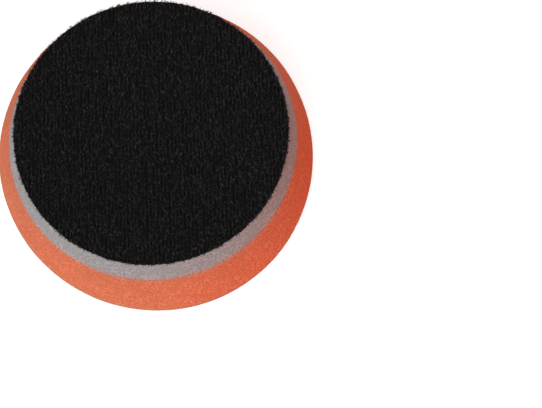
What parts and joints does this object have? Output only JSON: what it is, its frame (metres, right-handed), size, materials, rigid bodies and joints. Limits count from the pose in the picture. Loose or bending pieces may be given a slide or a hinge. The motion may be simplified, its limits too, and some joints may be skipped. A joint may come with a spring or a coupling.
{
  "type": "polishing pad",
  "caption": "Round tapered foam polishing pad: a thick working foam, a thinner interface foam and a hook-and-loop backing disc.",
  "frame": {"origin": "centre of the polishing face, which the pad rests on", "axes": "+Z along the pad's axis from the polishing face to the loop backing; +X and +Y are any two directions across the face, since the pad is round"},
  "size_m": [0.15, 0.15, 0.041],
  "materials": {
    "polishing_foam": "matte open-cell foam, orange",
    "interface_foam": "matte open-cell foam, light grey",
    "bond_film": "cured translucent adhesive film",
    "loop_ground": "black warp-knitted ground cloth",
    "loop_pile": "black brushed loop pile"
  },
  "bodies": {
    "face_foam": {"polishing_foam": "polishing_foam", "foam_bond_film": "bond_film"},
    "backing": {"interface_foam": "interface_foam", "loop_adhesive_film": "bond_film", "loop_ground_cloth": "loop_ground", "loop_pile": "loop_pile"}
  },
  "joints": [
    {"name": "foam_press", "type": "slide", "parent": "face_foam", "child": "backing", "axis": [0, 0, -1], "range_m": [0, 0.008], "stiffness_N_per_m": 6000, "deforming": ["interface_foam"]}
  ]
}
